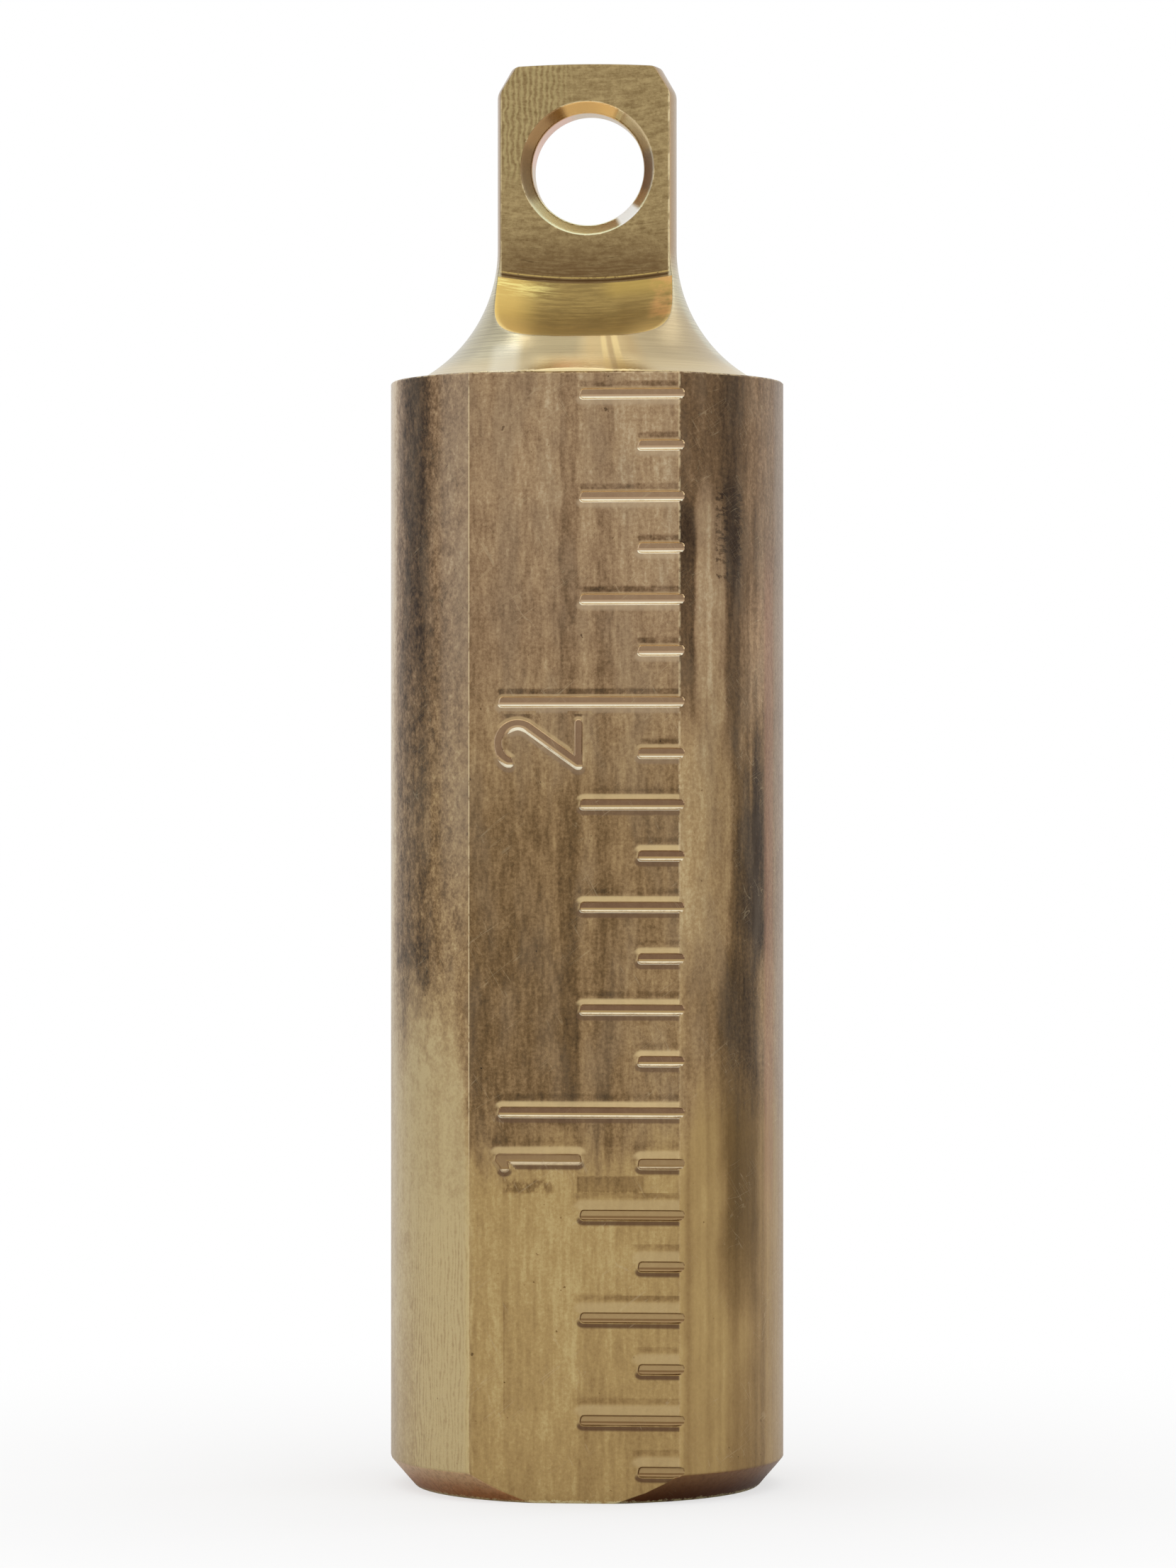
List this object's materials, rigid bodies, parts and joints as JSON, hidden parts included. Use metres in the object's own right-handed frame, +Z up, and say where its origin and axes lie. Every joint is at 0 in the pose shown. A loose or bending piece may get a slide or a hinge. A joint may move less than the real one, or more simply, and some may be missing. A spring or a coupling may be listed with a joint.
{
  "type": "sounding weight of a dipping tape",
  "caption": "Brass sounding weight of a dipping tape: an inch scale stamped on one flat, and a flared stem whose flat tang has an eye for the tape's hook.",
  "frame": {"origin": "centre of the foot's face, on the axis of the round body", "axes": "+Z up along the body's axis, from the foot to the eye; the scale's flat faces -Y; +X towards the flat's edge from which the marks start"},
  "size_m": [0.025, 0.0232, 0.0901],
  "materials": {
    "tarnished_brass": "brown tarnish over a brushed and handled surface, bright along worn edges",
    "machined_brass": "turned and milled, with fine tool marks, little tarnish"
  },
  "bodies": {
    "root": {"weight_body": "tarnished_brass", "eye_stem": "machined_brass"}
  },
  "joints": []
}
